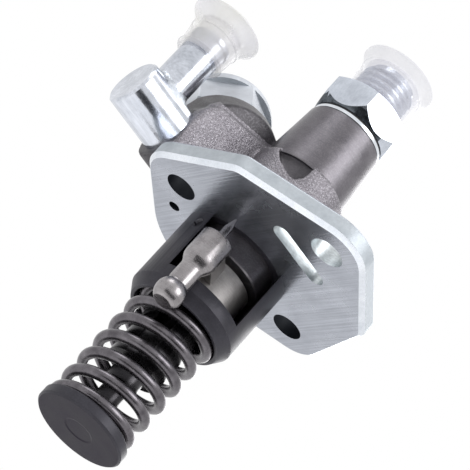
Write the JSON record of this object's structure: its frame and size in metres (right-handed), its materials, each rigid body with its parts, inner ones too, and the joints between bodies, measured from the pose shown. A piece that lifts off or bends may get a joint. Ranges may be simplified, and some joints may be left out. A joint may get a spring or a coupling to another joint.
{
  "type": "diesel injection pump",
  "caption": "Flange-mounted unit fuel injection pump: cast body, spring-loaded plunger in a pilot sleeve, swinging control arm with a ball pin, capped inlet and outlet.",
  "frame": {"origin": "on the plunger axis, in the plane of the flange's mounting face", "axes": "+Z along the plunger axis towards the fuel outlet, +X along the line of the two main stud holes, away from the fuel inlet, -Y towards the third stud hole"},
  "size_m": [0.0645, 0.0734, 0.1036],
  "materials": {
    "zinc_plated_steel": "bright zinc plating over fine brushing",
    "phosphated_iron": "grey phosphate, cast grain with turned stretches",
    "black_steel": "black oxide, satin",
    "spring_steel": "dark oiled spring wire",
    "ground_steel": "ground and bright",
    "turned_steel": "turned, satin",
    "seal_washer": "bright soft metal",
    "seal_rubber": "matte black",
    "clear_plastic": "milky clear moulding"
  },
  "bodies": {
    "housing": {"flange_plate": "zinc_plated_steel", "pump_body": "phosphated_iron", "pilot_cage": "black_steel", "cage_pins": "black_steel", "plunger_barrel": "turned_steel", "barrel_dowel": "turned_steel", "upper_spring_seat": "black_steel", "plunger_spring": "spring_steel", "delivery_valve_seat": "turned_steel", "delivery_gasket": "seal_washer", "delivery_valve_spring": "spring_steel", "holder_washer": "seal_washer", "holder_o_ring": "seal_rubber", "delivery_valve_holder": "zinc_plated_steel", "inlet_elbow": "zinc_plated_steel", "inlet_o_ring": "seal_rubber", "rear_plug": "zinc_plated_steel", "rear_plug_washer": "seal_washer"},
    "tappet": {"lower_spring_seat": "black_steel"},
    "control": {"control_sleeve": "turned_steel", "control_arm": "turned_steel", "ball_pin": "ground_steel"},
    "pump_plunger": {"plunger": "turned_steel"},
    "valve": {"delivery_valve": "turned_steel"},
    "outlet_cover": {"outlet_cap": "clear_plastic"},
    "inlet_cover": {"inlet_cap": "clear_plastic"}
  },
  "joints": [
    {"name": "tappet_slide", "type": "slide", "parent": "housing", "child": "tappet", "axis": [0, 0, 1], "range_m": [0, 0.007], "stiffness_N_per_m": 11400, "springref_m": -0.0047, "deforming": ["plunger_spring"]},
    {"name": "control_turn", "type": "hinge", "parent": "housing", "child": "control", "pos_m": [0, 0, -0.0095], "axis": [0, 0, 1], "range_deg": [-8, 42]},
    {"name": "plunger_slide", "type": "slide", "parent": "control", "child": "pump_plunger", "axis": [0, 0, 1], "range_m": [0, 0.007]},
    {"name": "valve_lift", "type": "slide", "parent": "housing", "child": "valve", "axis": [0, 0, 1], "range_m": [0, 0.0015], "stiffness_N_per_m": 5400, "springref_m": -0.002, "deforming": ["delivery_valve_spring"]},
    {"name": "outlet_cap_pull", "type": "slide", "parent": "housing", "child": "outlet_cover", "axis": [0, 0, 1], "range_m": [0, 0.012]},
    {"name": "inlet_cap_pull", "type": "slide", "parent": "housing", "child": "inlet_cover", "axis": [0, 0, 1], "range_m": [0, 0.01]}
  ],
  "couplings": [
    {"joint": "plunger_slide", "follows": "tappet_slide", "ratio": 1}
  ]
}
